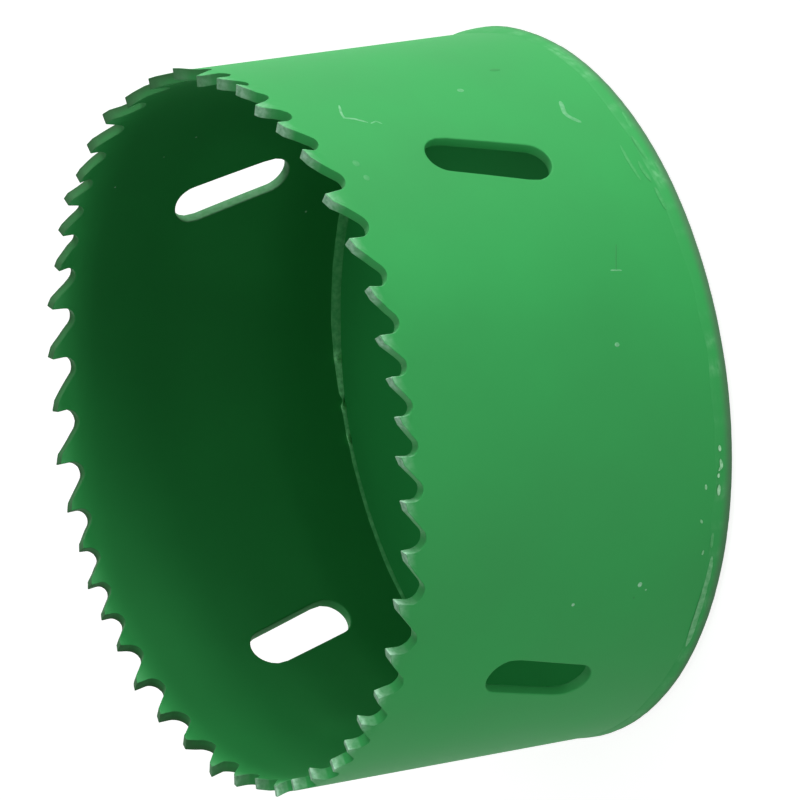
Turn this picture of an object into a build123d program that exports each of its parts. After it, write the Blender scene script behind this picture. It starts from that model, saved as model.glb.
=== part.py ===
from build123d import *
import math
import os

# Hole saw: a toothed and slotted steel band, welded round a thick end plate.
# It stands on its plate with the teeth up. Z runs from the plate to the teeth. Sizes are in millimetres.

# Band
cut_diameter = 83.0        # over the set teeth
tooth_set = 0.4            # how far a set tooth leans out of the wall at its tip
wall = 1.3                 # strip thickness
height = 42.7              # back face of the plate to the tooth tips
band_start = 1.4           # the band's back edge stands this far above the back face

# Teeth: the pitch swings between a coarse and a fine one, in a group that repeats along the strip
coarse_pitch = 25.4 / 4
fine_pitch = 25.4 / 6
group = 9                  # teeth in one group
tooth_count = 48
first_tip = 69.9           # angle of the first tip after the strip's butt joint, in degrees
coarse_tooth = 4.2         # place of the coarsest pitch in the group, counted in teeth from the joint
set_height = 1.6           # the set bends this much of each tooth
rake = 3.0                 # hook of the cutting face, in degrees
relief = 18.0              # slope of the land behind the tip, in degrees
gullet_depth = 0.48        # this and the next two are shares of the pitch
gullet_round = 0.235
land = 0.20
crest = 0.3                # spare height that the gullets trim off

# Pry slots through the wall
slot_angles = (-2.4, 87.2, 177.8, 274.7)
slot_centre = 21.2         # height of the slots' middle
slot_drops = (1.8, 0, 0, 0.3)  # how far each slot lies below that
slot_width = 5.2
slot_length = 14.8
slot_tilt = 17.0           # lean of a slot from the axis, in degrees

# End plate
plate_thickness = 4.2
seat_clearance = 0.05      # between the plate's rim and the band
thread_minor = 14.5        # bore of the arbor thread
bore_chamfer = 0.8
pin_hole = 6.8
pin_circle = 28.6          # pitch circle of the drive-pin holes
pin_count = 4
pin_turn = 45.0            # angle of the first pin hole, in degrees
pin_chamfer = 0.3

# Welds
weld_reach = 1.1           # how far the outer weld runs in from the band's inner face
bead_rise = 0.35           # how far the outer bead stands off the wall
bead_top = 3.0             # height of the bead's upper edge
bead_round = 1.2           # rounding of the bead's lower corner
weld_lift = 0.1            # the outer weld stays this far above the back face
fillet_leg = 0.9           # leg of the inner weld

outer_radius = cut_diameter / 2 - tooth_set
inner_radius = outer_radius - wall
middle_radius = outer_radius - wall / 2
rebate_radius = inner_radius - weld_reach
root_level = height - set_height


def pitch_list():
    """Gives the pitches round the ring, swinging from coarse to fine and scaled so that they close it."""
    mean, swing = (coarse_pitch + fine_pitch) / 2, (coarse_pitch - fine_pitch) / 2
    turn = 2 * math.pi / group
    raw = [mean + swing * math.cos(turn * (k - coarse_tooth)) for k in range(tooth_count)]
    closing = 2 * math.pi * middle_radius / sum(raw)
    return [p * closing for p in raw]


def wall_plane(angle, level):
    """Gives the plane that touches the middle of the wall: its x runs round the ring and its y runs up."""
    a = math.radians(angle)
    out = Vector(math.cos(a), math.sin(a), 0)
    return Plane(origin=out * middle_radius + Vector(0, 0, level), x_dir=out.cross(Vector(0, 0, -1)), z_dir=out)


def gullet_face(pitch):
    """Draws the gullet between a tip at x = 0 and the next at x = pitch, both at y = 0."""
    a, b = math.radians(rake), math.radians(relief)
    r, depth = gullet_round * pitch, gullet_depth * pitch
    run = (depth - r - r * math.sin(a)) / math.cos(a)      # straight length of the cutting face
    start = Vector(-run * math.sin(a), -run * math.cos(a))
    centre = start + Vector(math.cos(a), -math.sin(a)) * r
    heel = Vector(pitch * (1 - land), -pitch * land * math.tan(b))
    to_heel = heel - centre
    lean = math.atan2(to_heel.Y, to_heel.X) - math.acos(r / to_heel.length)
    end = centre + Vector(math.cos(lean), math.sin(lean)) * r
    top = 2 * crest
    trim = Vector(pitch + crest / math.tan(b), crest)
    arc = ThreePointArc(start, centre + Vector(0, -r), end)
    back = Polyline(end, heel, trim, (trim.X, top), (top * math.tan(a), top), start)
    return make_face([arc, back])


def gullet_cutter(tip_angle, pitch):
    """Runs the gullet's outline through the wall, square to the wall halfway between the two tips."""
    half = math.degrees(pitch / 2 / middle_radius)
    face = Pos(-pitch / 2, 0) * gullet_face(pitch)
    return extrude(wall_plane(tip_angle + half, height) * face, wall + tooth_set, both=True)


def slot_cutter(angle, level):
    """Makes the stadium-shaped cutter of one slanted slot, its middle at the given height."""
    outline = Rot(0, 0, 90 - slot_tilt) * SlotOverall(slot_length, slot_width)
    return extrude(wall_plane(angle, level) * outline, 2 * wall, both=True)


def tooth_blank(start, arc, lean):
    """Makes the curved block that one tooth is cut from, leaning outward by lean at tip height."""
    top = height + crest
    shift = lean * (top - root_level) / set_height
    corners = [(inner_radius, root_level), (outer_radius, root_level)]
    corners += [(outer_radius + shift, top), (inner_radius + shift, top)]
    section = Plane.XZ * make_face(Polyline(*corners, close=True))
    return Rot(0, 0, start) * revolve(section, Axis.Z, arc)


def make_band():
    """Builds the ring, cuts its gullets and slots, and sets the teeth out, straight and in by turns."""
    pitch = pitch_list()
    to_degrees = 180 / math.pi / middle_radius
    tips = [first_tip + sum(pitch[:k]) * to_degrees for k in range(tooth_count)]
    gullets = [gullet_cutter(a, p) for a, p in zip(tips, pitch)]
    splits = [a + gullet_round * p * to_degrees for a, p in zip(tips, pitch)]
    teeth = []
    for k in range(tooth_count):
        before = splits[k - 1] - (360 if k == 0 else 0)
        lean = tooth_set * (1 - (k % 3))
        blank = tooth_blank(before, splits[k] - before, lean)
        teeth.append(blank - gullets[k - 1] - gullets[k])
    on_foot = (Align.CENTER, Align.CENTER, Align.MIN)
    ring = Pos(0, 0, band_start) * Cylinder(outer_radius, root_level - band_start, align=on_foot)
    ring -= Cylinder(inner_radius, height, align=on_foot)
    ring -= gullets + [slot_cutter(a, slot_centre - drop) for a, drop in zip(slot_angles, slot_drops)]
    return ring + teeth


def hole(radius, chamfer_size):
    """Makes the cutter of one through hole in the plate, with both its edges chamfered."""
    low, high, c = 0, plate_thickness, chamfer_size
    outline = [(0, low - c), (radius + 2 * c, low - c), (radius, low + c), (radius, high - c)]
    outline += [(radius + 2 * c, high + c), (0, high + c)]
    return revolve(Plane.XZ * make_face(Polyline(*outline, close=True)), Axis.Z)


def make_plate():
    """Turns the plate with its rebate for the outer weld, and drills the arbor and drive-pin holes."""
    rim = inner_radius - seat_clearance
    outline = [(0, 0), (rebate_radius, 0), (rebate_radius, band_start), (rim, band_start)]
    outline += [(rim, plate_thickness), (0, plate_thickness)]
    plate = revolve(Plane.XZ * make_face(Polyline(*outline, close=True)), Axis.Z)
    pins = PolarLocations(pin_circle / 2, pin_count, start_angle=pin_turn)
    plate -= [hole(thread_minor / 2, bore_chamfer)] + [at * hole(pin_hole / 2, pin_chamfer) for at in pins]
    return plate


def make_rim_weld():
    """Turns the outer weld: it fills the rebate, covers the band's back edge and laps up the wall as a bead."""
    face = outer_radius + bead_rise
    turn = weld_lift + bead_round
    drop = bead_top - turn
    radius = (bead_rise**2 + drop**2) / (2 * bead_rise)
    crown = Vector(face - radius, turn)                    # centre of the bead's shallow outer arc
    half = math.asin(drop / radius) / 2
    shallow = ThreePointArc(
        (outer_radius, bead_top), crown + Vector(math.cos(half), math.sin(half)) * radius, (face, turn)
    )
    corner = Vector(face - bead_round, turn)
    low = ThreePointArc(
        (face, turn), corner + Vector(math.cos(math.pi / 4), -math.sin(math.pi / 4)) * bead_round,
        (corner.X, weld_lift),
    )
    rest = Polyline(
        (corner.X, weld_lift), (rebate_radius, weld_lift), (rebate_radius, band_start),
        (outer_radius, band_start), (outer_radius, bead_top),
    )
    return revolve(Plane.XZ * make_face([shallow, low, rest]), Axis.Z)


def make_inner_weld():
    """Turns the thin fillet in the corner of the wall and the plate's inner face."""
    foot = Vector(inner_radius - fillet_leg, plate_thickness)
    top = Vector(inner_radius, plate_thickness + fillet_leg)
    bulge = (foot + top) * 0.5 + Vector(-1, 1).normalized() * fillet_leg * 0.12
    legs = Polyline(top, (inner_radius, plate_thickness), foot)
    return revolve(Plane.XZ * make_face([ThreePointArc(foot, bulge, top), legs]), Axis.Z)


os.makedirs("parts", exist_ok=True)
export_step(make_band(), "parts/toothed_band.step")
export_step(make_plate(), "parts/end_plate.step")
export_step(make_rim_weld(), "parts/rim_weld.step")
export_step(make_inner_weld(), "parts/inner_weld.step")
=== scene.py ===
import math
import bpy
import numpy as np
from mathutils import Matrix, Vector


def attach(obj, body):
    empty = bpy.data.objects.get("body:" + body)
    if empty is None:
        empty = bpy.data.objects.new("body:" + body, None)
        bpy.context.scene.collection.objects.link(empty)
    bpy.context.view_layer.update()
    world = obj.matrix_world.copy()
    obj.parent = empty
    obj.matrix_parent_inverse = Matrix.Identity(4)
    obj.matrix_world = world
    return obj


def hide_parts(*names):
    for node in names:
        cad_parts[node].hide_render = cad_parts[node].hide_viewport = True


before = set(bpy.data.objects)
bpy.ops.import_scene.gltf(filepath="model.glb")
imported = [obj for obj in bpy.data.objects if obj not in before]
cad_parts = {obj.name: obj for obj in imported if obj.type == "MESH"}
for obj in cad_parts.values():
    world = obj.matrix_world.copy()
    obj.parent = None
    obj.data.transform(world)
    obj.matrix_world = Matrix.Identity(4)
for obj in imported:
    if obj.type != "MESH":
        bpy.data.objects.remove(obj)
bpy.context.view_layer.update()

# A painted hole saw standing on its end plate, teeth up. Sizes in the dictionaries are millimetres and angles
# are degrees, if nothing else is said.
mm = 0.001
turn = 2 * math.pi
creaseAngle = 50        # a sharper fold than this shows as an edge


def linearColour(code):
    # an sRGB hex colour as the linear values that shaders take
    parts = [int(code[i:i + 2], 16) / 255 for i in (1, 3, 5)]
    return [c / 12.92 if c < 0.04045 else ((c + 0.055) / 1.055) ** 2.4 for c in parts] + [1.0]


def emptyTree(owner):
    # the node tree of a material or world, with nothing in it
    owner.use_nodes = True
    owner.node_tree.nodes.clear()
    return owner.node_tree


def addNode(tree, kind, links=None, **settings):
    # links maps an input, by its name or place, to a value or to another node's output
    made = tree.nodes.new(kind)
    for name, value in settings.items():
        setattr(made, name, value)
    for key, value in (links or {}).items():
        if isinstance(value, bpy.types.NodeSocket):
            tree.links.new(value, made.inputs[key])
        else:
            made.inputs[key].default_value = value
    return made


def gridFaces(index, closeRows=False, closeColumns=False):
    # four neighbours of an index grid make a face: (i, j), (i, j + 1), (i + 1, j + 1), (i + 1, j)
    a = np.vstack([index, index[:1]]) if closeRows else index
    a = np.hstack([a, a[:, :1]]) if closeColumns else a
    return np.stack([a[:-1, :-1], a[:-1, 1:], a[1:, 1:], a[1:, :-1]], -1)


def windowLoop(index, r0, r1, c0, c1):
    # the points round a rectangle of an index grid, anticlockwise as its faces run
    return np.concatenate([index[r0, c0:c1], index[r0:r1, c1], index[r1, c1:c0:-1], index[r1:r0:-1, c0]])


def onRing(angle, radius, z):
    # x = radius cos(angle), y = radius sin(angle)
    angle, radius, z = np.broadcast_arrays(angle, radius, z)
    return np.stack([radius * np.cos(angle), radius * np.sin(angle), z], -1)


def softNoise(rng, angle, waves, falloff):
    # sum over n up to waves of cos(n angle + phase) / n^falloff, scaled to -1 to 1
    n = np.arange(1, waves + 1)
    weight = rng.normal(size=waves) / n ** falloff
    phase = rng.uniform(0, turn, waves)
    total = (weight[:, None] * np.cos(n[:, None] * angle.ravel()[None] + phase[:, None])).sum(0)
    return (total / np.abs(total).max()).reshape(angle.shape)


def addPiece(name, points, faces, material, node, values=None):
    # a mesh in the object's own frame, standing for one solid, with values on its points for the material
    mesh = bpy.data.meshes.new(name)
    mesh.from_pydata((points * mm).tolist(), [], faces.tolist())
    mesh.polygons.foreach_set("use_smooth", np.ones(len(faces), bool))
    mesh.set_sharp_from_angle(angle=math.radians(creaseAngle))
    for key, array in (values or {}).items():
        mesh.attributes.new(key, "FLOAT", "POINT").data.foreach_set("value", array.astype(np.float32))
    mesh.materials.append(material)
    mesh.update()
    piece = bpy.data.objects.new(name, mesh)
    bpy.context.scene.collection.objects.link(piece)
    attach(piece, "root")
    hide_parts(node)
    print(name, len(points), "points", len(faces), "faces")


# Camera: at the photograph's angle. The saw stands up, so the picture is rolled to lay it on its side.
view = {
    "target": (-0.37, -0.43, 18.94),
    "forward": (0.661925, -0.566237, -0.491149),
    "distance": 888.8,
    "roll": -98.965,        # about the line of sight
    "lens": 350.2,
    "sensor": 36.0,
    "near": 10.0, "far": 50000.0,   # distances where its sight begins and ends
}


def addCamera(v):
    forward = Vector(v["forward"]).normalized()
    place = Vector(v["target"]) * mm - forward * v["distance"] * mm
    turned = forward.to_track_quat("-Z", "Y").to_matrix() @ Matrix.Rotation(math.radians(v["roll"]), 3, "Z")
    data = bpy.data.cameras.new("camera")
    data.lens, data.sensor_width = v["lens"], v["sensor"]
    data.clip_start, data.clip_end = v["near"] * mm, v["far"] * mm
    camera = bpy.data.objects.new("camera", data)
    camera.matrix_world = Matrix.Translation(place) @ turned.to_4x4()
    bpy.context.scene.collection.objects.link(camera)
    bpy.context.scene.camera = camera


addCamera(view)
print("camera placed")


# Studio: a pale floor, a soft even surround, and soft lamps round the saw. Sizes and distances are metres.
studio = {
    "surround": 0.23,
    "floorShade": "#e2e2e0",
    "floorWhite": 0.88,         # own brightness of the floor as the camera sees it, to which the lamps add
    "floorShadow": "#b0b0b0",   # how much they add, and so how dark the shadow is
    "floorSize": 12.0,
    "floorDrop": 0.00002,       # how far the floor lies below the plate's back
    "lampDistance": 1.0,
    "lampAim": 0.02,            # height of the point that the lamps face
    "lamps": {
        "side": {"azimuth": 216, "elevation": 1, "wide": 1.0, "tall": 0.06, "watts": 8.6},
        "edge": {"azimuth": 262, "elevation": 4, "wide": 0.8, "tall": 0.12, "watts": 1.0},
        "front": {"azimuth": 116, "elevation": 1, "wide": 1.2, "tall": 0.10, "watts": 4.9},
        "behind": {"azimuth": 335, "elevation": 4, "wide": 0.8, "tall": 0.12, "watts": 1.5},
        "above": {"azimuth": 190, "elevation": 75, "wide": 0.6, "tall": 0.6, "watts": 1.8},
        "mouth": {"azimuth": 205, "elevation": 11, "wide": 0.8, "tall": 0.2, "watts": 3.2},
    },
}
pureWhite = (1, 1, 1, 1)


def seenDirectly(tree):
    # 1 for camera, glossy and transmission rays, so that gloss shows the same white as the background
    rays = addNode(tree, "ShaderNodeLightPath").outputs
    pair = {0: rays["Is Camera Ray"], 1: rays["Is Glossy Ray"]}
    either = addNode(tree, "ShaderNodeMath", pair, operation="MAXIMUM")
    pair = {0: either.outputs[0], 1: rays["Is Transmission Ray"]}
    return addNode(tree, "ShaderNodeMath", pair, operation="MAXIMUM").outputs[0]


def addSurround(s):
    # white to the camera and in gloss, and a plain soft light to everything else
    world = bpy.data.worlds.new("surround")
    tree = emptyTree(world)
    plain = addNode(tree, "ShaderNodeBackground", {"Color": pureWhite, "Strength": s["surround"]})
    bright = addNode(tree, "ShaderNodeBackground", {"Color": pureWhite, "Strength": 1.0})
    ways = {0: seenDirectly(tree), 1: plain.outputs[0], 2: bright.outputs[0]}
    mixed = addNode(tree, "ShaderNodeMixShader", ways)
    addNode(tree, "ShaderNodeOutputWorld", {"Surface": mixed.outputs[0]})
    bpy.context.scene.world = world


def makePaper(s):
    # matt paper: it keeps the saw's shadow and is otherwise as white as the surround
    paper = bpy.data.materials.new("matt paper floor")
    tree = emptyTree(paper)
    matt = addNode(tree, "ShaderNodeBsdfDiffuse", {"Color": linearColour(s["floorShade"])})
    faint = addNode(tree, "ShaderNodeBsdfDiffuse", {"Color": linearColour(s["floorShadow"])})
    bright = addNode(tree, "ShaderNodeEmission", {"Color": pureWhite, "Strength": s["floorWhite"]})
    lit = addNode(tree, "ShaderNodeAddShader", {0: faint.outputs[0], 1: bright.outputs[0]})
    ways = {0: seenDirectly(tree), 1: matt.outputs[0], 2: lit.outputs[0]}
    surface = addNode(tree, "ShaderNodeMixShader", ways)
    addNode(tree, "ShaderNodeOutputMaterial", {"Surface": surface.outputs[0]})
    return paper


def addFloor(s, paper):
    half = s["floorSize"] / 2
    corners = [(-half, -half, 0), (half, -half, 0), (half, half, 0), (-half, half, 0)]
    mesh = bpy.data.meshes.new("floor")
    mesh.from_pydata(corners, [], [(0, 1, 2, 3)])
    mesh.materials.append(paper)
    floor = bpy.data.objects.new("floor", mesh)
    floor.location.z = -s["floorDrop"]
    bpy.context.scene.collection.objects.link(floor)


def addLamps(s):
    # each lamp stands at its azimuth and elevation and faces the middle of the saw
    for name, lamp in s["lamps"].items():
        a, e = math.radians(lamp["azimuth"]), math.radians(lamp["elevation"])
        out = Vector((math.cos(a) * math.cos(e), math.sin(a) * math.cos(e), math.sin(e)))
        data = bpy.data.lights.new(name, "AREA")
        data.shape = "RECTANGLE"
        data.size, data.size_y, data.energy = lamp["wide"], lamp["tall"], lamp["watts"]
        light = bpy.data.objects.new(name, data)
        light.location = out * s["lampDistance"] + Vector((0, 0, s["lampAim"]))
        light.rotation_euler = (-out).to_track_quat("-Z", "Y").to_euler()
        bpy.context.scene.collection.objects.link(light)


addSurround(studio)
addFloor(studio, makePaper(studio))
addLamps(studio)
bpy.context.scene.view_settings.view_transform = "Standard"
print("studio placed")


# Sprayed enamel on steel: an even green film, half glossy and slightly rippled, over a few grains of dust.
enamel = {
    "green": "#258f45",
    "thin": "#b4e2c4",              # pale colour: thin film at the teeth's tips, and painted highlight on their edges and on some slots' walls
    "scuffAndShade": "#315f37",           # where dark steel shows through it, and painted shade on the slots' walls
    "roughness": 0.65,
    "roughSpread": 0.03,            # how far that wanders either way
    "wornRough": 0.25,              # how much rougher a pale or dark place is
    "gloss": 0.33,                  # share of the usual reflection at right angles
    "cloud": 18.0,                  # size of the clouds of deeper and paler green
    "cloudTone": 0.06,              # how much deeper and paler
    "cloudRange": (0.3, 0.7),       # values of the noise that this runs between
    "grit": 0.6,                    # size of the grit that breaks up a thin place
    "gritLeast": 0.45,              # share of the paleness that the grit leaves
    "gritRange": (0.35, 0.65),
    "ripple": 1.6,                  # between the film's ripples
    "rippleHeight": 0.002,
    "nibSpacing": 5.0,              # between grains
    "nibShare": 0.4,                # share of the places that have one
    "nibRadius": 0.22,
    "nibHeight": 0.05,
}
duller = {**enamel, "gloss": 0.099}                                 # on the plate's plain turned faces
weldEnamel = {**enamel, "thin": "#a9e0b4", "scuffAndShade": "#4a7552"}    # pale colour for the painted glints and highlights on the weld, dark one for its painted corner shade
filletEnamel = {**duller, "thin": "#a0ffb4"}                        # pale colour for the painted highlight on the inner weld bead


def filmColour(tree, e, place, cloud, edge, dark):
    # Soft clouds of green, mixed with the pale colour (thin film and painted highlight) by edge times grit,
    # then with the dark one (scuffs and painted shade) by dark. Inputs 6 and 7 of a colour mix are its two
    # colours.
    low, high = e["cloudRange"]
    tone = addNode(tree, "ShaderNodeMapRange", {0: cloud, 1: low, 2: high, 3: 0.0, 4: 1.0})
    green = linearColour(e["green"])[:3]
    deep, pale = ([c * (1 + way * e["cloudTone"]) for c in green] + [1.0] for way in (-1, 1))
    body = addNode(tree, "ShaderNodeMix", {0: tone.outputs[0], 6: deep, 7: pale}, data_type="RGBA")
    fine = {"Vector": place, "Scale": 1 / (e["grit"] * mm), "Detail": 2.0}
    grit = addNode(tree, "ShaderNodeTexNoise", fine)
    low, high = e["gritRange"]
    broken = {0: grit.outputs["Fac"], 1: low, 2: high, 3: e["gritLeast"], 4: 1.0}
    share = addNode(tree, "ShaderNodeMapRange", broken)
    worn = addNode(tree, "ShaderNodeMath", {0: edge, 1: share.outputs[0]}, operation="MULTIPLY")
    thin = {0: worn.outputs[0], 6: body.outputs[2], 7: linearColour(e["thin"])}
    paled = addNode(tree, "ShaderNodeMix", thin, data_type="RGBA")
    darkening = {0: dark, 6: paled.outputs[2], 7: linearColour(e["scuffAndShade"])}
    return addNode(tree, "ShaderNodeMix", darkening, data_type="RGBA").outputs[2]


def filmRelief(tree, e, place):
    # Ripples from soft noise, plus round grains: some cells of a cell pattern have one at their middle, of a
    # radius that the cell picks, and its height falls smoothly to its edge.
    soft = {"Vector": place, "Scale": 1 / (e["ripple"] * mm), "Detail": 1.0}
    ripple = addNode(tree, "ShaderNodeTexNoise", soft)
    flat = {0: ripple.outputs["Fac"], 1: e["rippleHeight"] * mm}
    wave = addNode(tree, "ShaderNodeMath", flat, operation="MULTIPLY")
    cells = addNode(tree, "ShaderNodeTexVoronoi", {"Vector": place, "Scale": 1 / (e["nibSpacing"] * mm)})
    picked = addNode(tree, "ShaderNodeSeparateColor", {0: cells.outputs["Color"]})
    radius = e["nibRadius"] / e["nibSpacing"]
    chosen = {0: picked.outputs[0], 1: 1 - e["nibShare"], 2: 1.0, 3: 0.0, 4: radius}
    size = addNode(tree, "ShaderNodeMapRange", chosen)
    inner = {0: size.outputs[0], 1: cells.outputs["Distance"]}
    near = addNode(tree, "ShaderNodeMath", inner, operation="SUBTRACT")
    rise = {0: near.outputs[0], 1: 0.0, 2: radius, 3: 0.0, 4: e["nibHeight"] * mm}
    grain = addNode(tree, "ShaderNodeMapRange", rise, interpolation_type="SMOOTHSTEP")
    both = {0: wave.outputs[0], 1: grain.outputs[0]}
    height = addNode(tree, "ShaderNodeMath", both, operation="ADD")
    bump = {"Height": height.outputs[0], "Distance": 1.0, "Strength": 1.0}
    return addNode(tree, "ShaderNodeBump", bump).outputs[0]


def makeEnamel(name, e):
    # edge mixes in the pale colour (thin film, painted highlight), dark the dark one (scuffs, painted shade)
    material = bpy.data.materials.new(name)
    tree = emptyTree(material)
    place = addNode(tree, "ShaderNodeTexCoord").outputs["Object"]
    edge = addNode(tree, "ShaderNodeAttribute", attribute_name="edge").outputs["Fac"]
    dark = addNode(tree, "ShaderNodeAttribute", attribute_name="dark").outputs["Fac"]
    wide = {"Vector": place, "Scale": 1 / (e["cloud"] * mm), "Detail": 3.0}
    cloud = addNode(tree, "ShaderNodeTexNoise", wide).outputs["Fac"]
    colour = filmColour(tree, e, place, cloud, edge, dark)
    low, high = e["cloudRange"]
    least, greatest = e["roughness"] - e["roughSpread"], e["roughness"] + e["roughSpread"]
    even = addNode(tree, "ShaderNodeMapRange", {0: cloud, 1: low, 2: high, 3: least, 4: greatest})
    most = addNode(tree, "ShaderNodeMath", {0: edge, 1: dark}, operation="MAXIMUM")
    rougher = {0: most.outputs[0], 1: e["wornRough"], 2: even.outputs[0]}
    rough = addNode(tree, "ShaderNodeMath", rougher, operation="MULTIPLY_ADD")
    shader = addNode(tree, "ShaderNodeBsdfPrincipled", {
        "Base Color": colour, "Roughness": rough.outputs[0],
        "Specular IOR Level": e["gloss"], "Normal": filmRelief(tree, e, place)})
    addNode(tree, "ShaderNodeOutputMaterial", {"Surface": shader.outputs[0]})
    return material


bandPaint = makeEnamel("sprayed green enamel on rolled steel strip", enamel)
platePaint = makeEnamel("sprayed green enamel on turned steel plate", duller)
weldPaint = makeEnamel("sprayed green enamel on weld metal", weldEnamel)
filletPaint = makeEnamel("sprayed green enamel on the inner weld bead", filletEnamel)
print("paint mixed")


# Toothed band: a strip with teeth in a pitch that swings from coarse to fine, rolled to a ring
band = {
    "outer": 41.1, "wall": 1.3, "height": 42.7, "start": 1.4,
    "teeth": 48, "coarse": 25.4 / 4, "fine": 25.4 / 6, "group": 9, "coarsest": 4.2,
    "firstTip": 69.9,               # round the ring
    "rake": 3.0, "relief": 18.0,
    "gulletDepth": 0.48, "gulletRound": 0.235, "land": 0.20,    # shares of the pitch
    "set": 0.4, "setHeight": 1.6,   # lean of a set tooth, and the length that bends
    "edgeRound": 0.04,              # paint rounds the teeth's edges this much
    "edgeHold": 2.4,                # the wall is flat from this many times edgeRound inward
    "edgeSteps": (1.0, 2.2, 10.0),  # rows across the edge, this many times edgeRound from each face
    "tipRound": 0.12,               # paint rounds the tips this much
    "uneven": 0.04, "seed": 3,      # how rough the punched edges are
    "unevenNoise": (700, 0.1),      # waves in a turn, and falloff
    "base": 4.2,                    # below the tips, where the columns are even again
    "blend": (0.22, 0.45, 0.68, 0.88, 1.0),     # rows between there and the edge
    "footShift": 0.30,              # how far behind its tip a tooth's columns start there, in pitches
    "levelsBelow": (3.6, 6.5, 9.5), "levelAbove": 33.5,     # rows of the wall below and above the slots
}

outside, inside = band["outer"], band["outer"] - band["wall"]       # radii of the wall's two faces

# Wear of the film and painted highlight: pale where the film is thin and as a painted highlight on the
# teeth's edges, dark where steel shows
wear = {
    "tipReach": 1.2, "faceReach": 2.6,    # how far from the tips it is pale, on the wall and the cutting faces
    "sidePale": 0.5, "facePale": 0.5,   # how pale it is there: thin film, and painted highlight
    "faceColumns": 7,                   # of a tooth's columns, those on its cutting face
    "wornAt": 306.0,                    # round the ring, where the teeth are dark with wear, not pale
    "wornReach": 0.5, "wornSharp": 2.0,     # how far round the ring that goes, and how suddenly it ends
    "wornLess": 0.85,                   # share of the paleness that is gone there
    "wornEdges": (1.0, 1.0, 0.8, 0.45, 0.5, 0.6),   # how dark there, from the outer edge to the inner one
    "wornTips": 0.9,                    # and how dark the tips are, down to twice tipReach
}

# Pry slots: slanted stadium-shaped openings with rounded edges
slots = {
    "angles": (-2.4, 87.2, 177.8, 274.7),
    "drops": (1.8, 0.0, 0.0, 0.3),      # below the usual height
    "paintedShades": (0.1, 0.1, 0.0, 0.6),     # painted shade on each slot's walls
    "paintedSheens": (0.0, 0.0, 0.0, 0.3),      # painted sheen on them, pale and grey
    "length": 14.8, "width": 5.2, "tilt": 17.0, "centre": 21.2, "round": 0.15,
    "windowWide": 15.8,                 # degrees of the mesh that are cut out round a slot
    "windowTall": 20.4, "windowRows": 13,
    "rim": 1.8,                         # outer edge of the even rim, in radii of the rounded edge
    "steps": (0.3, 0.6, 0.85, 1.0),     # points between the window and the rim, as shares of the way
}


def gulletColumns(b):
    # Points from each tip to the next: the straight cutting face, the round bottom, the flank and the land.
    # x runs along the strip from the first tip, y is the height over the tips, even is where each column
    # stands at the teeth's base, owner is the tooth that a point is on.
    middle = b["outer"] - b["wall"] / 2
    tooth = np.arange(b["teeth"])
    swing = (b["coarse"] - b["fine"]) / 2 * np.cos(turn / b["group"] * (tooth - b["coarsest"]))
    raw = (b["coarse"] + b["fine"]) / 2 + swing
    pitch = (raw * turn * middle / raw.sum())[:, None]
    tip = np.cumsum(pitch)[:, None] - pitch     # place of each tip along the strip
    rake, relief = math.radians(b["rake"]), math.radians(b["relief"])
    r, depth = b["gulletRound"] * pitch, b["gulletDepth"] * pitch
    run = (depth - r - r * math.sin(rake)) / math.cos(rake)
    startX, startY = -run * math.sin(rake), -run * math.cos(rake)
    centreX, centreY = startX + r * math.cos(rake), startY - r * math.sin(rake)
    heelX, heelY = pitch * (1 - b["land"]), -pitch * b["land"] * math.tan(relief)
    toX, toY = heelX - centreX, heelY - centreY
    last = turn + np.arctan2(toY, toX) - np.arccos(r / np.hypot(toX, toY))
    face = np.array([0.0, 0.1, 0.3, 0.65])[None]        # shares of the way along each of the four stretches
    arc = np.linspace(0, 1, 12)[None]
    flank = np.array([0.25, 0.55, 0.85, 1.0])[None]
    land = np.array([0.4, 0.75, 0.9])[None]
    around = (math.pi - rake) * (1 - arc) + last * arc
    endX, endY = centreX + r * np.cos(last), centreY + r * np.sin(last)
    x = np.hstack([startX * face, centreX + r * np.cos(around),
                   endX + (heelX - endX) * flank, heelX + (pitch - heelX) * land])
    y = np.hstack([startY * face, centreY + r * np.sin(around),
                   endY + (heelY - endY) * flank, heelY - heelY * land])
    x[:, 0] -= b["tipRound"] / 3        # a rounding takes about a third of its radius off a corner each way
    y[:, 0] -= b["tipRound"] / 3
    column = np.arange(x.shape[1])[None]
    step = tooth[:, None] + column / x.shape[1] - b["footShift"]
    places = np.concatenate([[tip[-1, 0] - turn * middle], tip[:, 0], [turn * middle]])
    even = np.interp(step, np.arange(-1, b["teeth"] + 1), places)
    owner = tooth[:, None] + (column >= face.size + arc.size // 2)
    return (tip + x).ravel(), y.ravel(), even.ravel(), (owner % b["teeth"]).ravel()


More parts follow.
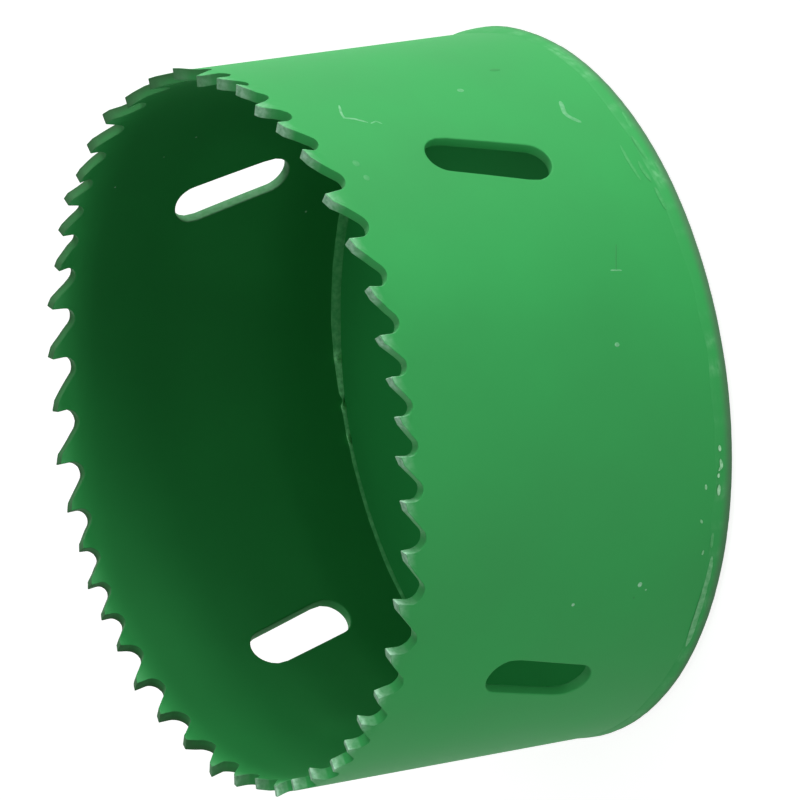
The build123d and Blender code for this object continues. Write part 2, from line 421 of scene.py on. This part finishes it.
def stripGrid(b, levels):
    # The rows run up the outside at the given levels, blend into the toothed edge, cross it and run down the
    # inside. A point's angle is first tip + x / middle, its radius outer - depth + lean * bend, and y is its
    # height over the tips. Gives these and the slice of rows that cross the edge.
    x, y, even, owner = gulletColumns(b)
    middle = b["outer"] - b["wall"] / 2
    ahead = np.roll(x, -1) - np.roll(x, 1)
    ahead[[0, -1]] += turn * middle                 # the strip closes to a ring
    rise = np.roll(y, -1) - np.roll(y, 1)
    steep = np.hypot(ahead, rise)
    inX, inY = rise / steep, -ahead / steep         # square to the edge, into the steel
    rough = b["uneven"] * softNoise(np.random.default_rng(b["seed"]), x / middle, *b["unevenNoise"])
    x, y = x + inX * rough, y + inY * rough
    k, hold = b["edgeRound"], b["edgeHold"] * b["edgeRound"]
    holdX, holdY = x + inX * hold, y + inY * hold
    rows = [(even, np.full_like(x, z - b["height"])) for z in levels]
    rows += [(holdX * t + even * (1 - t), holdY * t - b["base"] * (1 - t)) for t in b["blend"]]
    rows += [(x + inX * k, y + inY * k)]
    sideX, sideY = np.array([r[0] for r in rows]), np.array([r[1] for r in rows])
    share = np.array(b["edgeSteps"])
    across = np.concatenate([share, b["wall"] / k - share[::-1]]) * k
    alongX = np.vstack([sideX, np.repeat(x[None], across.size, 0), sideX[::-1]])
    alongY = np.vstack([sideY, np.repeat(y[None], across.size, 0), sideY[::-1]])
    depth = np.concatenate([np.zeros(len(rows)), across, np.full(len(rows), b["wall"])])[:, None]
    lean = b["set"] * (1 - owner % 3)               # outward, straight and inward by turns
    bend = np.maximum((alongY + b["setHeight"]) / b["setHeight"], 0)
    angle = math.radians(b["firstTip"]) + alongX / middle
    edgeRows = slice(len(rows), len(rows) + across.size)
    return angle, b["outer"] - depth + lean * bend, alongY, edgeRows


def filmWear(w, teeth, angle, alongY, edgeRows):
    # At height y over the tips the teeth are pale by 1 + y / tipReach, thin film with a painted highlight,
    # and by a share of that on the wall and the cutting faces. The teeth are dark instead by reach + sharp *
    # cos(angle - wornAt), held between 0 and 1.
    def falling(y, over):
        return np.clip(1 + y / over, 0, 1)

    tips = alongY[edgeRows.start]
    cutting = np.arange(tips.size) % (tips.size // teeth) < w["faceColumns"]
    edge = w["sidePale"] * falling(alongY, w["tipReach"])
    edge[edgeRows.start - 1:edgeRows.stop + 1] = w["facePale"] * falling(tips, w["faceReach"]) * cutting
    edge[edgeRows] = np.maximum(edge[edgeRows], falling(tips, w["tipReach"]))
    worn = np.clip(w["wornReach"] + w["wornSharp"] * np.cos(angle - math.radians(w["wornAt"])), 0, 1)
    edge *= 1 - w["wornLess"] * worn
    dark = np.zeros(angle.shape)
    darkTips = w["wornTips"] * falling(tips, 2 * w["tipReach"])
    dark[edgeRows] = worn[edgeRows] * np.maximum(np.array(w["wornEdges"])[:, None], darkTips)
    return edge, dark


def stadium(direction, half, radius):
    # distance from the middle of a slot to its edge: straight sides, then the round ends
    c, s = np.abs(np.cos(direction)), np.maximum(np.abs(np.sin(direction)), 1e-9)
    side = radius / s
    end = half * c + np.sqrt(np.maximum(radius ** 2 - (half * s) ** 2, 0))
    return np.where(side * c <= half, side, end)


def slotSteps(s, wall):
    # the rings of points through a slot: growth of its outline, depth in the wall, share of the way to it
    k = s["round"]
    steps = [(s["rim"] * k, 0, share) for share in s["steps"]]
    steps += [(k * (1 - math.sin(q)), k * (1 - math.cos(q)), 1.0) for q in np.radians([0, 30, 60, 90])]
    return steps + [(0, wall / 2, 1.0)] + [(g, wall - d, share) for g, d, share in steps[::-1]]


def slotRings(s, b, steps, centre, level, loopAngle, loopUp):
    # Each ring lies a share of the way from the window's edge to the grown stadium, on the wall's cylinder:
    # x along the flat picture of the slot becomes the angle centre + arcsin(x / radius).
    tilt = math.radians(90 - s["tilt"])
    half, radius = (s["length"] - s["width"]) / 2, s["width"] / 2
    outerX, innerX = b["outer"] * np.sin(loopAngle), (b["outer"] - b["wall"]) * np.sin(loopAngle)
    direction = np.arctan2(loopUp, outerX)
    rings = []
    for grow, depth, share in steps:
        reach = stadium(direction - tilt, half, radius + grow)
        start = innerX if depth > b["wall"] / 2 else outerX
        x = start * (1 - share) + reach * np.cos(direction) * share
        up = loopUp * (1 - share) + reach * np.sin(direction) * share
        wallRadius = b["outer"] - depth
        rings.append(onRing(centre + np.arcsin(x / wallRadius), wallRadius, level + up))
    return np.array(rings)


# Hairs, grains and streaks in the paint: half its width, how pale, how dark, bluntness, wall radius, then its
# places as degrees round the ring and mm above the back. The weld's bead stands a little off the wall, and
# its marks are painted glints and pale streaks of highlight on small bumps.
marks = {
    "rows": 15, "sides": 8,
    "flat": 0.15,           # height as a share of half the width
    "endShare": 0.1,        # share of the width that is left at the ends
    "wall": (
        (0.27, 0.24, 0.0, 8, outside, ((188.0, 8.0), (186.9, 8.2), (185.2, 8.6), (184.0, 8.4), (182.4, 7.4))),
        (0.14, 0.35, 0.0, 8, outside,
         ((194.9, 33.9), (192.4, 34.6), (191.2, 34.7), (190.6, 33.6), (189.2, 32.4))),
        (0.10, 0.3, 0.0, 8, outside, ((188.9, 32.2), (189.3, 31.4), (188.4, 30.9))),
        (0.10, 0.0, 0.25, 8, outside, ((159.2, 10.6), (157.0, 11.2), (154.9, 11.7))),
        (0.08, 0.3, 0.0, 8, outside, ((155.1, 12.4), (154.8, 11.0))),
        (0.40, 0.1, 0.0, 2, outside, ((181.1, 37.3), (179.7, 37.2))),
        (0.35, 0.1, 0.0, 2, outside, ((177.8, 37.1), (176.6, 37.0))),
        (0.40, 0.3, 0.0, 2, outside, ((194.9, 18.4), (193.9, 18.4))),
        (0.35, 0.0, 0.25, 2, outside, ((199.4, 12.5), (199.2, 11.2))),
        (0.30, 0.4, 0.0, 2, outside, ((143.8, 13.9), (143.1, 13.9))),
        (0.28, 1.0, 0.0, 2, outside, ((104.5, 11.3), (103.6, 11.3))),
        (0.12, 0.6, 0.0, 2, outside, ((103.0, 10.4), (102.7, 10.3))),
        (0.12, 0.0, 0.3, 2, outside, ((101.9, 11.8), (101.5, 11.7))),
        (0.20, 0.7, 0.0, 2, outside, ((102.7, 19.8), (102.1, 19.8))),
        (0.14, 1.0, 0.0, 2, inside, ((259.7, 28.9), (260.1, 28.9))),
        (0.10, 1.0, 0.0, 2, inside, ((264.2, 32.1), (264.5, 32.1))),
        (0.12, 1.0, 0.0, 2, inside, ((270.2, 37.3), (270.5, 37.3))),
        (0.14, 1.0, 0.0, 2, inside, ((281.6, 9.8), (282.0, 9.8))),
        (0.12, 1.0, 0.0, 2, inside, ((257.6, 9.5), (258.0, 9.5))),
    ),
    # painted glints and pale streaks of highlight on the weld's bead
    "weld": (
        (0.18, 1.0, 0.0, 2, outside + 0.15, ((125.6, 2.3), (124.6, 2.2))),
        (0.20, 1.0, 0.0, 2, outside + 0.15, ((123.4, 2.2), (122.2, 2.0), (121.5, 2.4))),
        (0.16, 1.0, 0.0, 2, outside + 0.15, ((121.1, 2.4), (120.4, 2.4))),
        (0.22, 1.0, 0.0, 2, outside + 0.15, ((119.3, 2.3), (117.5, 2.3))),
        (0.42, 0.36, 0.0, 5, outside + 0.06,
         ((108.0, 2.1), (102.8, 2.1), (98.4, 2.3), (93.9, 2.3), (88.6, 2.1))),
        (0.25, 0.16, 0.0, 3, outside + 0.04, ((111.4, 2.5), (108.6, 2.5))),
        (0.25, 0.1, 0.0, 3, outside + 0.1, ((186.6, 1.4), (184.4, 1.3))),
        (0.25, 0.1, 0.0, 3, outside + 0.12, ((183.6, 1.7), (182.0, 1.7), (179.8, 1.9))),
        (0.25, 0.08, 0.0, 3, outside + 0.1, ((178.0, 2.5), (175.7, 2.4), (172.9, 2.2))),
        (0.22, 0.08, 0.0, 3, outside + 0.03, ((173.0, 3.4), (171.1, 3.4), (168.9, 3.1))),
        (0.22, 0.09, 0.0, 3, outside + 0.04, ((167.8, 3.0), (165.8, 2.9), (163.7, 2.8))),
        (0.18, 0.1, 0.0, 4, outside + 0.02, ((176.6, 4.5), (173.9, 4.6), (171.9, 4.5), (169.4, 4.3))),
        (0.16, 0.8, 0.0, 2, outside + 0.02, ((119.6, 4.0), (118.7, 3.9))),
        (0.14, 0.6, 0.0, 2, outside + 0.02, ((113.9, 4.4), (113.2, 4.1))),
        (0.14, 0.6, 0.0, 2, outside + 0.03, ((108.4, 3.5), (107.6, 3.6))),
    ),
}


def markTube(radius, power, wallRadius, places, m):
    # A flat tube along a line on the wall, half sunk in it: at s from -1 to 1 its half width is
    # radius * sqrt(1 - |s|^power).
    angle, level = np.radians(places[:, 0]), places[:, 1]
    length = np.concatenate([[0], np.cumsum(np.hypot(np.diff(angle) * wallRadius, np.diff(level)))])
    s = -np.cos(np.linspace(0, math.pi, m["rows"]))
    along = (s + 1) / 2 * length[-1]
    a, z = np.interp(along, length, angle), np.interp(along, length, level)
    centre = onRing(a, wallRadius, z)
    out = onRing(a, 1.0, 0.0)
    side = np.cross(np.gradient(centre, axis=0), out)
    side /= np.linalg.norm(side, axis=1)[:, None]
    u = np.linspace(0, turn, m["sides"], endpoint=False)[None, :, None]
    reach = radius * np.sqrt(np.maximum(1 - np.abs(s) ** power, m["endShare"] ** 2))[:, None, None]
    points = centre[:, None] + reach * (m["flat"] * out[:, None] * np.cos(u) + side[:, None] * np.sin(u))
    index = np.arange(m["rows"] * m["sides"]).reshape(m["rows"], m["sides"])
    cap = np.array([[0, 1, 2, 3], [0, 3, 4, 7], [4, 5, 6, 7]])      # closes a ring of eight
    tube = gridFaces(index, closeColumns=True).reshape(-1, 4)
    return points.reshape(-1, 3), np.vstack([tube, index[0][cap][:, ::-1], index[-1][cap]])


def markShells(paths, first):
    # points, faces, paleness and darkness of some marks, their points numbered from first
    points, faces, pale, dark = [], [], [], []
    for radius, paleness, darkness, power, wallRadius, places in paths:
        new, newFaces = markTube(radius, power, wallRadius, np.array(places), marks)
        faces.append(newFaces + first + sum(len(p) for p in points))
        points.append(new)
        pale.append(np.full(len(new), paleness))
        dark.append(np.full(len(new), darkness))
    return np.vstack(points), np.vstack(faces), np.concatenate(pale), np.concatenate(dark)


def joinLoops(firstLoop, rings, lastLoop, total):
    # faces from one loop of points through new rings, numbered from total, to another loop
    index = total + np.arange(rings.shape[0] * rings.shape[1]).reshape(rings.shape[:2])
    return gridFaces(np.vstack([firstLoop[None], index, lastLoop[None]]), closeColumns=True).reshape(-1, 4)


def buildBand(b, w, s, material):
    # the rolled strip with a window cut out of both its faces at each slot, joined through the wall by rings
    low, high = s["centre"] - s["windowTall"] / 2, s["centre"] + s["windowTall"] / 2
    slotLevels = np.linspace(low, high, s["windowRows"])
    levels = [[b["start"]], b["levelsBelow"], slotLevels, [b["levelAbove"], b["height"] - b["base"]]]
    angle, radius, alongY, edgeRows = stripGrid(b, np.concatenate(levels))
    edge, dark = filmWear(w, b["teeth"], angle, alongY, edgeRows)
    index = np.arange(angle.size).reshape(angle.shape)
    faces = gridFaces(index, closeRows=True, closeColumns=True)
    keep = np.ones(faces.shape[:2], bool)
    allPoints, allFaces = [onRing(angle, radius, b["height"] + alongY).reshape(-1, 3)], []
    allEdge, allDark = [edge.ravel()], [dark.ravel()]
    total = index.size

    first = 1 + len(b["levelsBelow"])       # the windows' first and last rows, and the grid's last one
    last, top = first + s["windowRows"] - 1, index.shape[0] - 1
    halfWindow = math.radians(s["windowWide"] / 2)
    steps = slotSteps(s, b["wall"])
    deep = [float(0 < depth < b["wall"]) for grow, depth, share in steps]       # 1 for rings inside the wall
    for degrees, drop, darkening, paintedSheen in zip(s["angles"], s["drops"], s["paintedShades"], s["paintedSheens"]):
        centre = math.radians(degrees)
        centre += turn * (centre < math.radians(b["firstTip"]))     # the columns start at the first tip
        c0, c1 = (int(np.argmin(np.abs(angle[first] - centre + side * halfWindow))) for side in (1, -1))
        keep[first:last, c0:c1] = False
        keep[top - last:top - first, c0:c1] = False
        outerLoop = windowLoop(index, first, last, c0, c1)
        innerLoop = windowLoop(index[::-1], first, last, c0, c1)
        level = s["centre"] - drop
        loopUp = b["height"] + alongY.ravel()[outerLoop] - level
        new = slotRings(s, b, steps, centre, level, angle.ravel()[outerLoop] - centre, loopUp)
        through = np.repeat(deep, new.shape[1])
        allPoints.append(new.reshape(-1, 3))
        allFaces.append(joinLoops(outerLoop, new, innerLoop, total))
        # the rings inside the wall carry the slot's painted sheen and painted shade
        allEdge.append(paintedSheen * through)
        allDark.append(darkening * through)
        total += through.size
    allFaces.append(faces[keep])

    markPoints, markFaces, markPale, markDark = markShells(marks["wall"], total)
    values = {"edge": np.concatenate(allEdge + [markPale]), "dark": np.concatenate(allDark + [markDark])}
    addPiece("bandSteel", np.vstack(allPoints + [markPoints]), np.vstack(allFaces + [markFaces]),
             material, "toothed_band", values)


buildBand(band, wear, slots, bandPaint)


# End plate: a turned disc with a rebate for the weld, a threaded arbor hole and four drive-pin holes
plate = {
    "rim": inside - 0.05,                       # a little clearance to the wall
    "rebate": inside - 1.1, "rebateHeight": band["start"], "thick": 4.2, "rimRound": 0.3, "backChamfer": 0.2,
    "minor": 7.25, "threadPitch": 25.4 / 18, "threadDepth": 0.69, "boreChamfer": 0.8,
    "crestFlat": 1 / 4, "rootFlat": 1 / 8,      # flats of the thread, as shares of its pitch
    "boreLand": 0.9, "boreRows": 85,            # even ring of mesh round the bore, and rows of points in it
    "pinCircle": 14.3, "pinHole": 3.4, "pinChamfer": 0.3, "pins": 4, "pinTurn": 45.0,
    "pinLand": 0.25,                            # even ring of mesh round a pin hole
    "pinGrow": 0.4, "pinSteps": (0.35, 0.7),    # rings between the window and that, at shares of the way
    "windowInner": 9.7, "windowOuter": 18.9, "windowRows": 13,     # mesh that is cut out round a pin hole
    "windowReach": 12,                          # and how many columns to each side
    "between": (34.0, 28.0, 23.0),              # radii of the rows between the rim and the windows
    "columns": 240,
}


def plateSection(p, angle, back):
    # The section runs from the foot of the rebate inward over the back, up the threaded bore and out over the
    # inner face. In the bore the radius is minor + depth * trapezoid(z / pitch - angle / turn), the thread.
    # Gives the points and the last row of the inner face.
    front = back.copy()
    front[0] = p["rim"] - p["rimRound"]
    z = np.linspace(0, p["thick"], p["boreRows"])[1:-1]
    wave = np.abs(2 * ((z[:, None] / p["threadPitch"] - angle / turn) % 1) - 1)
    slope = (wave - p["crestFlat"]) / (1 - p["crestFlat"] - p["rootFlat"])
    bore = p["minor"] + p["threadDepth"] * np.clip(slope, 0, 1)
    bore = np.maximum(bore, p["minor"] + p["boreChamfer"] - np.minimum(z, p["thick"] - z)[:, None])
    flat = np.ones_like(angle)
    q = np.radians([60, 30, 0])
    rimR = p["rim"] - p["rimRound"] * (1 - np.cos(q))
    rimZ = p["thick"] - p["rimRound"] * (1 - np.sin(q))
    radius = np.vstack([back[:, None] * flat, bore, front[::-1, None] * flat, rimR[:, None] * flat,
                        p["rim"] * flat, p["rebate"] * flat, p["rebate"] * flat])
    height = np.concatenate([np.zeros(back.size), z, np.full(front.size, p["thick"]), rimZ,
                             [p["rebateHeight"], p["rebateHeight"], p["backChamfer"]]])[:, None]
    return onRing(angle, radius, height), back.size + z.size + front.size - 1


def pinRings(p, at, rim):
    # Rings from a window's edge to the chamfered hole and through it: each is a share of the way from that
    # edge to a circle of radius hole + grow round the pin's place.
    toRim = rim[:, :2] - at
    direction = toRim / np.hypot(toRim[:, 0], toRim[:, 1])[:, None]
    c = p["pinChamfer"]
    steps = [(p["pinGrow"], 0, share) for share in p["pinSteps"]]
    steps += [(c + p["pinLand"], 0, 1.0), (c, 0, 1.0), (0, c, 1.0)]
    steps += [(grow, p["thick"] - level, share) for grow, level, share in steps[::-1]]
    rings = []
    for grow, level, share in steps:
        flatPoint = rim[:, :2] * (1 - share) + (at + direction * (p["pinHole"] + grow)) * share
        rings.append(np.column_stack([flatPoint, np.full(len(rim), level)]))
    return np.array(rings)


def buildPlate(p, material):
    # the turned section, with a window cut out of both faces at each pin hole and joined through it by rings
    angle = np.linspace(0, turn, p["columns"], endpoint=False)[None]
    window = np.linspace(p["windowOuter"], p["windowInner"], p["windowRows"])
    opened = p["minor"] + p["boreChamfer"]
    outer = [p["rebate"] - p["backChamfer"], *p["between"]]
    back = np.concatenate([outer, window, [opened + p["boreLand"], opened]])
    points, frontRow = plateSection(p, angle, back)
    index = np.arange(points.shape[0] * points.shape[1]).reshape(points.shape[:2])
    faces = gridFaces(index, closeRows=True, closeColumns=True)[..., ::-1]
    keep = np.ones(faces.shape[:2], bool)
    first, last = len(outer), len(outer) + window.size - 1
    upFirst, upLast = frontRow - last, frontRow - first
    allPoints, allFaces = [points.reshape(-1, 3)], []
    total = index.size
    for k in range(p["pins"]):
        middle = round((p["pinTurn"] / 360 + k / p["pins"]) * p["columns"])
        c0, c1 = middle - p["windowReach"], middle + p["windowReach"]
        keep[first:last, c0:c1] = False
        keep[upFirst:upLast, c0:c1] = False
        lowLoop = windowLoop(index, first, last, c0, c1)
        topLoop = windowLoop(index[:upLast + 1][::-1], 0, window.size - 1, c0, c1)
        at = p["pinCircle"] * np.array([math.cos(angle[0, middle]), math.sin(angle[0, middle])])
        new = pinRings(p, at, allPoints[0][lowLoop])
        allPoints.append(new.reshape(-1, 3))
        allFaces.append(joinLoops(lowLoop, new, topLoop, total)[:, ::-1])
        total += new.shape[0] * new.shape[1]
    allFaces.append(faces[keep])
    addPiece("plateSteel", np.vstack(allPoints), np.vstack(allFaces), material, "end_plate")


buildPlate(plate, platePaint)


# Outer weld: closes the rebate, covers the band's foot and laps up the wall, highest where it ends on itself
rimWeld = {
    "columns": 900, "beadRows": 9, "underRows": 6,
    "wallRadius": outside, "rebate": plate["rebate"], "foot": 0.1, "seat": plate["rebateHeight"],
    "sunk": 0.03,                   # how far its top edge lies inside the wall
    "top": 3.0, "rise": 0.12, "cornerRound": 1.2,
    "fullness": 0.8,                # power of the bead's section: 1 is a parabola, and less is fuller
    "lapAngle": 226.0, "lapWidth": 9.0,             # where the bead ends on itself, and over how far
    "lapRise": 0.3, "lapTop": 2.4,                  # how much more it stands out and reaches up there
    "uneven": 0.07, "topUneven": 0.5, "pitted": 0.03, "underUneven": 0.05,
    "riseNoise": (60, 0.6), "topNoise": (40, 0.5), "pitNoise": (220, 0.2),     # waves in a turn, and falloff
    "underNoise": (90, 0.4), "paleNoise": (90, 0.4), "seed": 5,
    "pale": 0.2, "paleSharp": 1.8, "paleLess": 0.2, "pitLift": 0.7,     # painted highlight in patches on the bead, brighter on its raised places
    "paintedCornerShade": (0.1, 0.28, 0.5, 0.9, 1, 1, 1, 1),      # painted shade on the rows up to the end of the corner, where the bead turns under
}


def buildRimWeld(w, material):
    # Section parameter t runs from 1 at the top edge to 0 at the corner, where the bead turns in under the
    # plate. It stands off the wall by rise * (1 - t^2)^fullness; rise and top vary round the ring.
    angle = np.linspace(0, turn, w["columns"], endpoint=False)[None]
    rng = np.random.default_rng(w["seed"])
    away = (angle - math.radians(w["lapAngle"]) + math.pi) % turn - math.pi
    lap = np.exp(-(away / math.radians(w["lapWidth"])) ** 2)
    bumps = 0.5 + 0.5 * softNoise(rng, angle, *w["riseNoise"])
    rise = w["rise"] + w["lapRise"] * lap + w["uneven"] * bumps
    top = w["top"] + w["lapTop"] * lap + w["topUneven"] * softNoise(rng, angle, *w["topNoise"])
    corner, sunk = w["cornerRound"], w["sunk"]
    t = np.linspace(1, 0, w["beadRows"])[:, None]
    pits = np.vstack([softNoise(rng, angle, *w["pitNoise"]) for row in t])
    bulge = (1 - t ** 2) ** w["fullness"]
    beadR = w["wallRadius"] - sunk + (rise + sunk) * bulge + w["pitted"] * pits * (1 - t)
    beadZ = w["foot"] + corner + (top - w["foot"] - corner) * t
    q = np.radians([18, 36, 54, 72, 90])[:, None]
    outerR = beadR[-1]
    turnR = outerR - corner * (1 - np.cos(q))
    turnZ = w["foot"] + corner * (1 - np.sin(q)) + 0 * angle
    inward = np.linspace(1, 0, w["underRows"])[1:, None]
    innerR = inward * (outerR - corner - w["rebate"]) + w["rebate"]
    lumps = 0.5 + 0.5 * softNoise(rng, angle, *w["underNoise"])
    under = w["foot"] + w["underUneven"] * lumps * np.ones_like(innerR)
    backR = np.vstack([w["rebate"] + 0 * angle, w["wallRadius"] - sunk + 0 * angle])
    radius = np.vstack([beadR, turnR, innerR, backR])
    z = np.vstack([beadZ, turnZ, under, np.full_like(backR, w["seat"])])
    index = np.arange(radius.size).reshape(radius.shape)
    faces = gridFaces(index, closeRows=True, closeColumns=True)[..., ::-1].reshape(-1, 4)

    pale, dark = np.zeros(radius.shape), np.zeros(radius.shape)
    # painted highlight in patches on the bead's face, and painted shade on the rows round its corner
    patches = np.clip(w["paleSharp"] * softNoise(rng, angle, *w["paleNoise"]) - w["paleLess"], 0, 1)
    pale[:t.size] = w["pale"] * patches * np.clip(pits + w["pitLift"], 0, 1) * (t < 1)
    paintedShades = np.array(w["paintedCornerShade"])[:, None]
    dark[t.size + q.size - paintedShades.size:t.size + q.size] = paintedShades
    markPoints, markFaces, markPale, markDark = markShells(marks["weld"], radius.size)
    values = {"edge": np.concatenate([pale.ravel(), markPale]),
              "dark": np.concatenate([dark.ravel(), markDark])}
    addPiece("outerWeld", np.vstack([onRing(angle, radius, z).reshape(-1, 3), markPoints]),
             np.vstack([faces, markFaces]), material, "rim_weld", values)


buildRimWeld(rimWeld, weldPaint)


# Inner weld: the thin fillet in the corner of the wall and the plate, with a few beads of metal on it, and a
# painted highlight along it
innerWeld = {
    "columns": 900, "rows": 9, "wallRadius": inside, "floor": plate["thick"],
    "sunk": 0.02,                           # how far it reaches into the wall and the plate
    "leg": 0.85, "bulge": 0.14,             # the bulge is a share of the leg
    "thinLeg": 0.31, "thinFrom": 317.6, "thinTo": 40.0,
    "thinStart": 0.8, "thinEnd": 10.0,      # degrees over which the thin run starts and ends
    "taper": 0.5, "taperOver": 14.0,        # share that the leg shrinks to before that, and over how far
    "uneven": 0.12, "unevenNoise": (80, 0.5), "seed": 8,
    "notch": 317.1, "notchWide": 0.6, "notchDeep": 0.9,     # a gap at the start of the thin run
    "pale": 0.24, "paleUneven": 0.08, "paleNoise": (150, 0.2),
    "bright": 0.3, "highlightAt": 314.0, "highlightOver": 7.0,    # painted highlight, brightest at highlightAt
    "drops": ((309.6, 0.6, 0.6), (318.0, 0.55, 0.55), (324.0, 0.55, 0.55)),    # degrees, mm high, mm wide
}


def buildInnerWeld(w, material):
    # Section parameter t from the wall to the plate: the hypotenuse of the corner, bulged by sin(pi t). Each
    # bead, the notch and the brightest painted highlight are exp(-(distance / width)^2) round the ring.
    angle = np.linspace(0, turn, w["columns"], endpoint=False)[None]
    degrees = np.degrees(angle)
    rng = np.random.default_rng(w["seed"])
    span = (w["thinTo"] - w["thinFrom"]) % 360
    along = (degrees - w["thinFrom"]) % 360
    thin = 1 / (1 + np.exp(-along / w["thinStart"])) * np.clip((span - along) / w["thinEnd"] + 0.5, 0, 1)
    full = np.clip((w["thinFrom"] - degrees) / w["taperOver"], 0, 1) + (degrees > w["thinFrom"])
    leg = w["leg"] * (w["taper"] + (1 - w["taper"]) * full) * (1 - thin) + w["thinLeg"] * thin
    leg = leg + w["uneven"] * softNoise(rng, angle, *w["unevenNoise"])
    leg *= 1 - w["notchDeep"] * np.exp(-((degrees - w["notch"]) / w["notchWide"]) ** 2)
    # pale is a painted highlight along the fillet, brightest near highlightAt
    pale = w["pale"] + w["bright"] * np.exp(-((degrees - w["highlightAt"]) / w["highlightOver"]) ** 2)
    pale = pale + w["paleUneven"] * softNoise(rng, angle, *w["paleNoise"])
    t = np.linspace(0, 1, w["rows"])[:, None]
    swell = w["bulge"] * leg * np.sin(math.pi * t)
    for at, high, wide in w["drops"]:
        away = ((angle - math.radians(at) + math.pi) % turn - math.pi) * w["wallRadius"]
        drop = np.exp(-(away / wide) ** 2)
        swell = swell + high * drop * np.sin(math.pi * t)
        # each bead also gets a painted highlight
        pale = pale + drop
    wall, floor = w["wallRadius"] + w["sunk"], w["floor"] - w["sunk"]
    radius = wall - (leg + w["sunk"]) * t - swell * math.sqrt(0.5)
    z = floor + (leg + w["sunk"]) * (1 - t) + swell * math.sqrt(0.5)
    radius = np.vstack([radius, wall + 0 * angle])
    z = np.vstack([z, floor + 0 * angle])
    index = np.arange(radius.size).reshape(radius.shape)
    faces = gridFaces(index, closeRows=True, closeColumns=True).reshape(-1, 4)
    pale = np.broadcast_to(np.clip(pale, 0, 1), radius.shape)
    addPiece("cornerWeld", onRing(angle, radius, z).reshape(-1, 3), faces,
             material, "inner_weld", {"edge": pale.ravel()})


buildInnerWeld(innerWeld, filletPaint)
